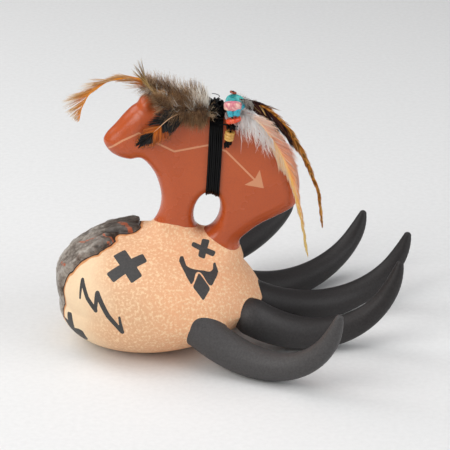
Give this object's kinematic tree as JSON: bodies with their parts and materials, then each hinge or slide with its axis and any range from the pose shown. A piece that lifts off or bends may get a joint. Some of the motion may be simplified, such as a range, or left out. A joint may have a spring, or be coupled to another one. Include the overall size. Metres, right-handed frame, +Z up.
{
  "type": "clay bear sculpture",
  "caption": "Polished red clay bear standing on a large clay bear's paw with long dark claws; feathers and a strand of beads are tied round the bear's belly with dark thread.",
  "frame": {"origin": "on the flat underside of the paw, at floor level, near the middle of the paw", "axes": "+Z up; +X towards the claws, so the bear looks towards -X; the side with the beads faces -Y"},
  "size_m": [0.1693, 0.1484, 0.1387],
  "materials": {
    "clay": "burnished red bear, matte speckled tan paw, matte black claws",
    "thread": "waxed",
    "turquoise": "polished",
    "coral": "polished",
    "pink_shell": "polished",
    "yellow_shell": "satin",
    "orange_feather": "feather",
    "spotted_feather": "feather",
    "brown_down": "down",
    "white_feather": "feather",
    "striped_feather": "feather",
    "brown_feather": "feather"
  },
  "bodies": {
    "root": {"clay_bear_on_paw": "clay", "waxed_thread": "thread", "bead_red_cap": "coral", "bead_turquoise_disc": "turquoise", "bead_pink_shell": "pink_shell", "bead_turquoise_upper": "turquoise", "bead_turquoise_lower": "turquoise", "bead_coral": "coral", "bead_yellow_shell_1": "yellow_shell", "bead_yellow_shell_2": "yellow_shell", "bead_yellow_shell_3": "yellow_shell", "feather_front_hackle": "orange_feather", "feather_spotted": "spotted_feather", "feather_brown_down": "brown_down", "feather_white_hackle": "white_feather", "feather_striped_hackle": "striped_feather", "feather_small_brown": "brown_feather"}
  },
  "joints": []
}
